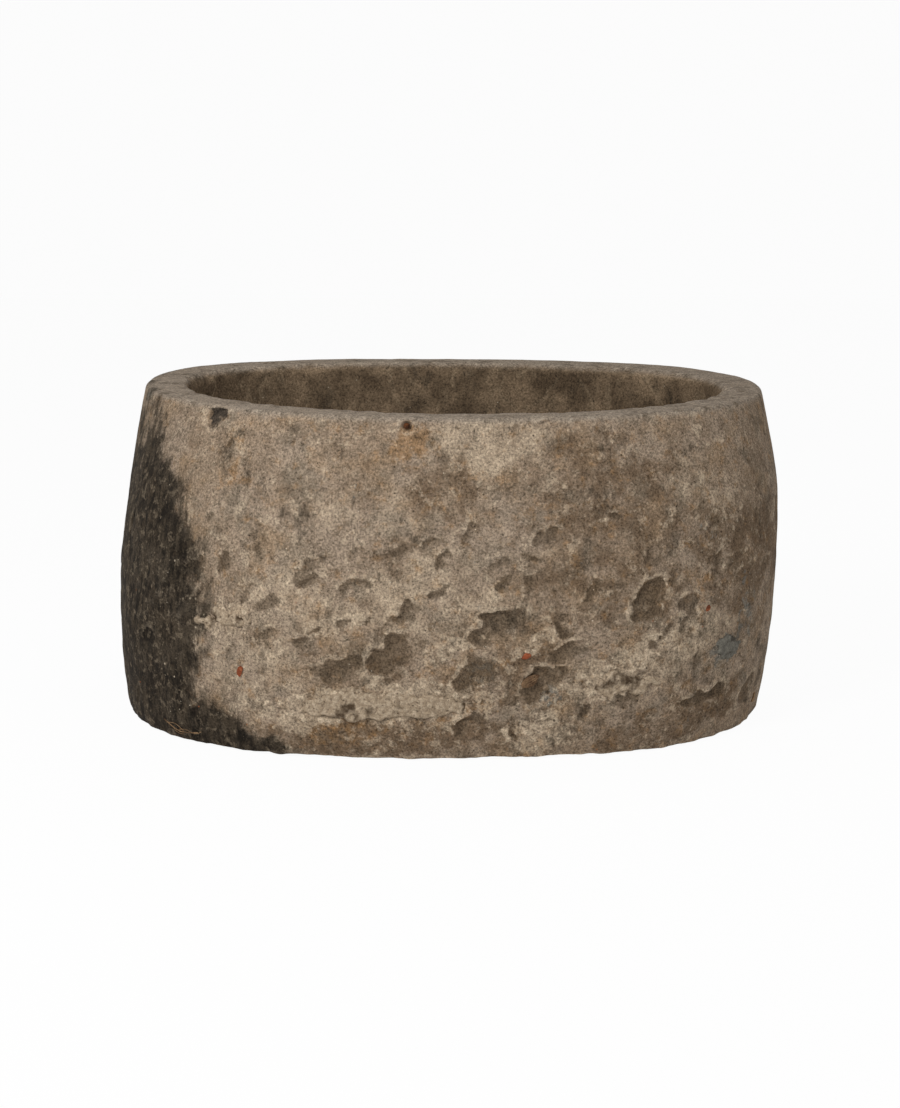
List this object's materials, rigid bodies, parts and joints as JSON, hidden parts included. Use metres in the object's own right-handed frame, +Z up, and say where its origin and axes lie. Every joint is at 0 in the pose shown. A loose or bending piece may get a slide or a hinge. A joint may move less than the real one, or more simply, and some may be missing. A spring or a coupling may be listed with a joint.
{
  "type": "limestone trough",
  "caption": "Barrel-sided oval stone trough with a deep carved hollow, a worn rim, pick-marked lower faces and a drain through its floor.",
  "frame": {"origin": "centre of the bounding box, on the ground that the trough stands on", "axes": "+X along the trough to the right as seen from its pictured front, +Y from the front to the back, +Z up"},
  "size_m": [0.9001, 0.6623, 0.4346],
  "materials": {
    "limestone": "matte",
    "old_mortar": "matte",
    "grey_cement": "matte",
    "red_brick": "matte",
    "rusted_iron": "matte",
    "dry_bark": "matte",
    "dry_plant": "matte"
  },
  "bodies": {
    "root": {"trough_body": "limestone", "mortar_crust_left": "old_mortar", "mortar_crust_middle": "old_mortar", "mortar_crust_right": "old_mortar", "cement_patch": "grey_cement", "brick_bit_left": "red_brick", "brick_bit_middle": "red_brick", "brick_bit_right": "red_brick", "iron_pin": "rusted_iron", "bark_scrap": "dry_bark", "dry_root": "dry_plant", "dry_leaf": "dry_plant"}
  },
  "joints": []
}
